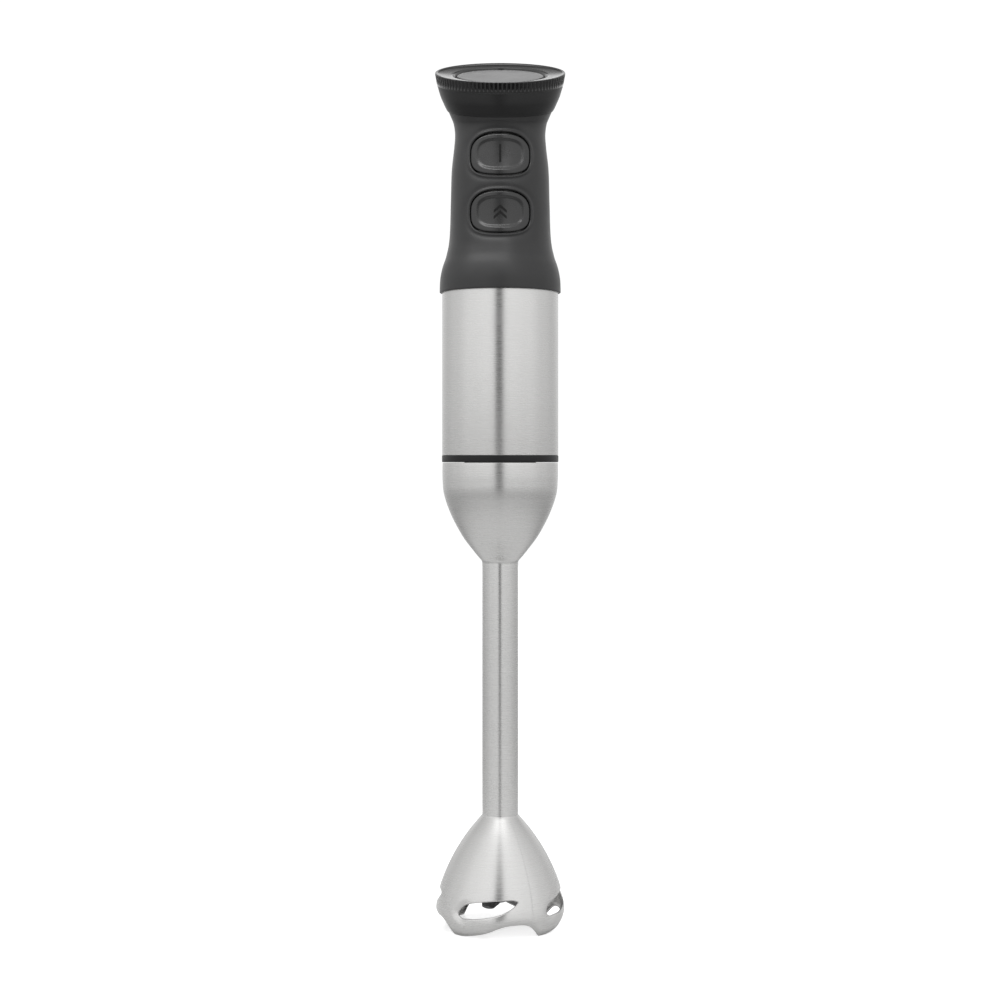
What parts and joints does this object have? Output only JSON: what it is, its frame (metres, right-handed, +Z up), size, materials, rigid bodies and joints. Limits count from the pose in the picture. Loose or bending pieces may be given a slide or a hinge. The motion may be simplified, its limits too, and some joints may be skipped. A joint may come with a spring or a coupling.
{
  "type": "immersion blender",
  "caption": "Hand-held immersion blender: a soft-touch grip with a tilted speed dial and push buttons, a steel motor body, and a pull-off steel stick with a slotted blade guard.",
  "frame": {"origin": "on the tool's axis, at the floor that the blade guard's rim stands on", "axes": "+Z up along the axis from the blade guard to the dial, front with the buttons at -Y, +X to the right seen from the front"},
  "size_m": [0.062, 0.0614, 0.4145],
  "materials": {
    "soft_touch": "soft-touch, fine grain",
    "button_plastic": "satin",
    "dial_black": "satin ribs, glossy top",
    "dial_gloss": "polished",
    "black_plastic": "moulded",
    "grey_plastic": "moulded",
    "cast_alloy": "as cast",
    "brushed_steel": "brushed round the axis",
    "blade_steel": "ground",
    "plain_steel": "turned",
    "spring_steel": "drawn wire",
    "rubber": "moulded",
    "lamination": "stacked sheet",
    "copper": "enamelled wire",
    "bronze": "sintered",
    "brass": "drawn",
    "carbon": "pressed carbon",
    "aluminium": "extruded",
    "zinc_case": "pressed case",
    "board": "lacquered laminate",
    "film_case": "moulded"
  },
  "bodies": {
    "motor_unit": {"handle_front_shell": "soft_touch", "handle_rear_shell": "soft_touch", "dial_collar": "soft_touch", "potentiometer": "zinc_case", "potentiometer_nut": "plain_steel", "on_button_spring": "spring_steel", "turbo_button_spring": "spring_steel", "on_switch": "black_plastic", "turbo_switch": "black_plastic", "circuit_board": "board", "board_screws": "plain_steel", "triac": "black_plastic", "heat_sink": "aluminium", "capacitor": "film_case", "cord_inlet": "rubber", "motor_sleeve": "brushed_steel", "base_ring": "black_plastic", "bottom_cap": "grey_plastic", "coupling_o_ring": "rubber", "lower_bracket": "cast_alloy", "upper_bracket": "grey_plastic", "lower_damper": "rubber", "upper_damper": "rubber", "motor_screws": "plain_steel", "stator_core": "lamination", "front_field_coil": "copper", "rear_field_coil": "copper", "left_brush": "carbon", "right_brush": "carbon", "left_brush_holder": "brass", "right_brush_holder": "brass", "left_brush_spring": "spring_steel", "right_brush_spring": "spring_steel", "lower_motor_bush": "bronze", "upper_motor_bush": "bronze"},
    "dial": {"speed_dial_ring": "dial_black", "dial_disc": "dial_gloss", "dial_shaft": "plain_steel"},
    "on_button": {"on_button": "button_plastic"},
    "turbo_button": {"turbo_button": "button_plastic"},
    "rotor": {"motor_shaft": "plain_steel", "armature_core": "lamination", "armature_winding": "copper", "commutator": "copper", "cooling_fan": "grey_plastic", "motor_coupling": "black_plastic"},
    "stick": {"stick_cone": "brushed_steel", "coupling_carrier": "grey_plastic", "upper_shaft_bush": "bronze", "shaft_tube": "brushed_steel", "bearing_plug": "grey_plastic", "lower_shaft_bush": "bronze", "shaft_seal": "rubber", "blade_guard": "brushed_steel"},
    "blade_drive": {"drive_shaft": "plain_steel", "driven_coupling": "black_plastic", "shaft_circlip": "plain_steel", "blade_hub": "blade_steel", "blade": "blade_steel", "blade_nut": "blade_steel"}
  },
  "joints": [
    {"name": "dial_turn", "type": "hinge", "parent": "motor_unit", "child": "dial", "pos_m": [0, 0, 0.4041], "axis": [0, -0.342, 0.9397], "range_deg": [-135, 135]},
    {"name": "on_button_press", "type": "slide", "parent": "motor_unit", "child": "on_button", "axis": [0, 1, 0], "range_m": [0, 0.0025], "stiffness_N_per_m": 700, "springref_m": -0.002, "deforming": ["on_button_spring"]},
    {"name": "turbo_button_press", "type": "slide", "parent": "motor_unit", "child": "turbo_button", "axis": [0, 1, 0], "range_m": [0, 0.0025], "stiffness_N_per_m": 700, "springref_m": -0.002, "deforming": ["turbo_button_spring"]},
    {"name": "rotor_spin", "type": "hinge", "parent": "motor_unit", "child": "rotor", "pos_m": [0, 0, 0.26], "axis": [0, 0, 1], "continuous": true},
    {"name": "stick_pull", "type": "slide", "parent": "motor_unit", "child": "stick", "axis": [0, 0, -1], "range_m": [0, 0.06]},
    {"name": "blade_spin", "type": "hinge", "parent": "stick", "child": "blade_drive", "pos_m": [0, 0, 0.06], "axis": [0, 0, 1], "continuous": true}
  ],
  "couplings": [
    {"joint": "blade_spin", "follows": "rotor_spin", "ratio": 1}
  ]
}
